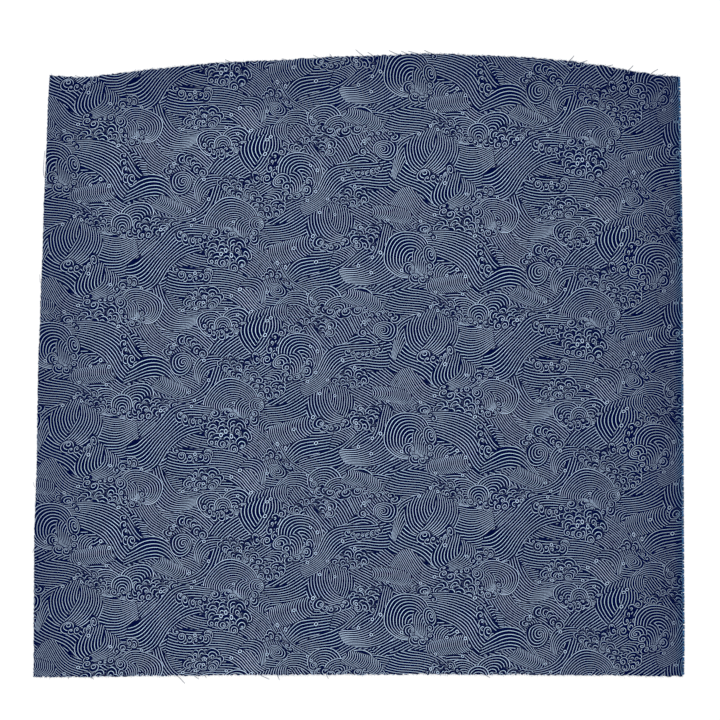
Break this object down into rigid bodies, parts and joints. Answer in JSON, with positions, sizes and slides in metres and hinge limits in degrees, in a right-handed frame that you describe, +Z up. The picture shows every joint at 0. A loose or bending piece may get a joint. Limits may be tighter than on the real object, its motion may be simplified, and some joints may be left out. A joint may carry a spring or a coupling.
{
  "type": "fabric remnant",
  "caption": "Flat cut length of indigo cotton with a pale printed wave pattern, an arched top cut, frayed cut edges and a fringed selvedge; it lies flat on a surface.",
  "frame": {"origin": "under the middle of the bounding box, on the surface that the cloth lies on", "axes": "+Z up out of the printed face; +X across the cloth towards its selvedge; +Y along the cloth towards the arched cut"},
  "size_m": [0.5754, 0.5588, 0.001],
  "materials": {
    "printed_cotton": "matt plain-weave cotton, navy ground with fine pale printed wave lines",
    "selvedge_yarn": "matt unprinted weft ends, dyed teal blue",
    "frayed_yarn": "matt loose cotton yarn, grey blue"
  },
  "bodies": {
    "root": {"cloth": "printed_cotton", "selvedge_fringe": "selvedge_yarn", "top_fray": "frayed_yarn", "bottom_fray": "frayed_yarn"}
  },
  "joints": []
}
